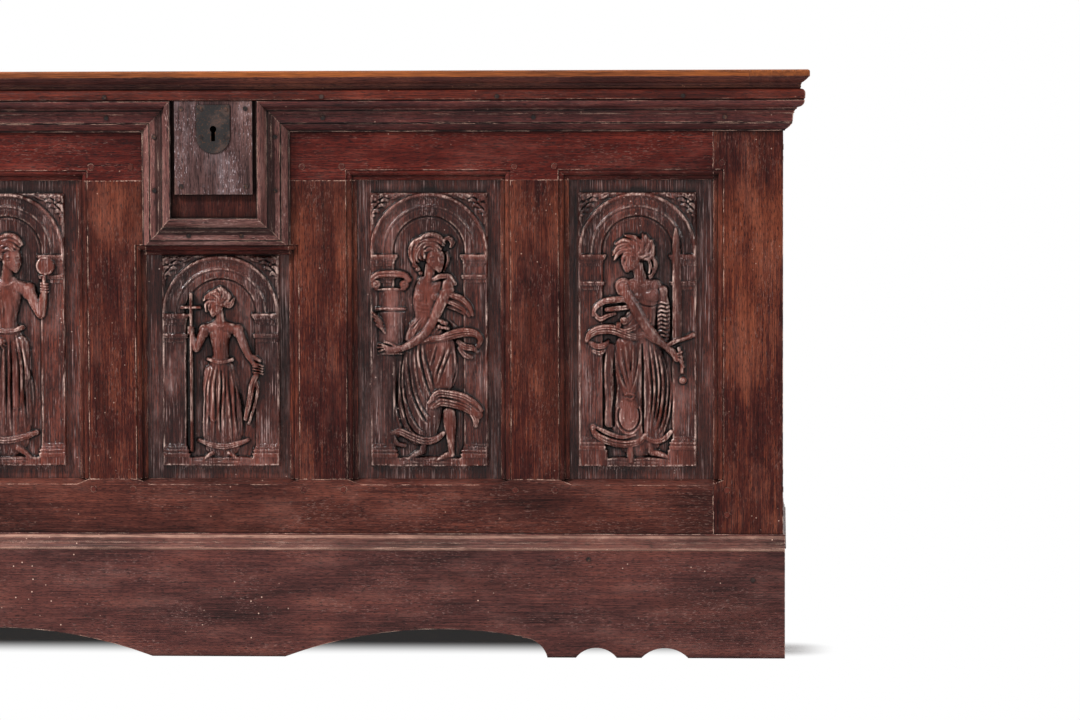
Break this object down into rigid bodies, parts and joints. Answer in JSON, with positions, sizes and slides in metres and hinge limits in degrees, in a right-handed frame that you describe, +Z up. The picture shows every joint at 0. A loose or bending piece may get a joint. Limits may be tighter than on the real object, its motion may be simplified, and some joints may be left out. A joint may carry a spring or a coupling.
{
  "type": "coffer chest",
  "caption": "Joined oak coffer with carved niche panels, stacked cornice round a lock tablet, hinged moulded lid, iron lock and shaped plinth.",
  "frame": {"origin": "middle of the outer box, on the floor", "axes": "+X along the front to its right end, +Y from the carved front to the back, +Z up"},
  "size_m": [1.78, 0.692, 0.8815],
  "materials": {
    "oak_frame": "aged waxed oak, red brown, satin",
    "oak_carved": "aged carved oak, dark with dusty highlights",
    "oak_moulding": "aged waxed oak mouldings, dark red brown",
    "oak_lid": "worn oak, orange brown along the nose",
    "oak_plinth": "aged oak, purple brown, satin",
    "oak_rough": "unfinished sawn oak",
    "oak_weathered": "dusty dark oak",
    "oak_pegs": "cleft oak",
    "wrought_iron": "blackened hammered iron",
    "iron_nails": "hand forged nails"
  },
  "bodies": {
    "case": {"stile_front_left": "oak_frame", "stile_front_right": "oak_frame", "stile_back_left": "oak_frame", "stile_back_right": "oak_frame", "front_top_rail": "oak_frame", "front_lock_rail": "oak_frame", "front_bottom_rail": "oak_frame", "front_muntin_1": "oak_frame", "front_muntin_2": "oak_frame", "front_muntin_3": "oak_frame", "front_muntin_4": "oak_frame", "left_top_rail": "oak_frame", "left_bottom_rail": "oak_frame", "left_muntin": "oak_frame", "left_panels": "oak_frame", "tablet_board": "oak_frame", "right_top_rail": "oak_frame", "right_bottom_rail": "oak_frame", "right_muntin": "oak_frame", "right_panels": "oak_frame", "back_top_rail": "oak_frame", "back_bottom_rail": "oak_frame", "back_muntins": "oak_frame", "back_panels": "oak_frame", "carved_panel_1": "oak_carved", "carved_panel_2": "oak_carved", "carved_panel_3": "oak_carved", "carved_panel_4": "oak_carved", "carved_panel_5": "oak_carved", "cornice_nosing": "oak_moulding", "cornice_front_left": "oak_moulding", "cornice_front_right": "oak_moulding", "cornice_end_left": "oak_moulding", "cornice_end_right": "oak_moulding", "tablet_frame_left": "oak_moulding", "tablet_frame_right": "oak_moulding", "tablet_frame_bottom": "oak_moulding", "plinth_front": "oak_plinth", "plinth_left": "oak_plinth", "plinth_right": "oak_plinth", "plinth_back": "oak_plinth", "floor_boards": "oak_rough", "plinth_blocks": "oak_rough", "lock_board": "oak_weathered", "frame_pegs": "oak_pegs", "escutcheon": "wrought_iron", "lock_case": "wrought_iron", "hinge_leaf_left": "wrought_iron", "hinge_leaf_right": "wrought_iron", "hinge_pins": "wrought_iron", "case_nails": "iron_nails"},
    "lid": {"lid_plank_front": "oak_lid", "lid_plank_back": "oak_lid", "lid_clamp_left": "oak_lid", "lid_clamp_right": "oak_lid", "lid_staple": "wrought_iron", "hinge_strap_left": "wrought_iron", "hinge_strap_right": "wrought_iron", "lid_nails": "iron_nails"},
    "bolt": {"lock_bolt": "wrought_iron"}
  },
  "joints": [
    {"name": "lid_hinge", "type": "hinge", "parent": "case", "child": "lid", "pos_m": [0, 0.34, 0.853], "axis": [-1, 0, 0], "range_deg": [0, 100]},
    {"name": "bolt_slide", "type": "slide", "parent": "case", "child": "bolt", "axis": [1, 0, 0], "range_m": [0, 0.014]}
  ]
}
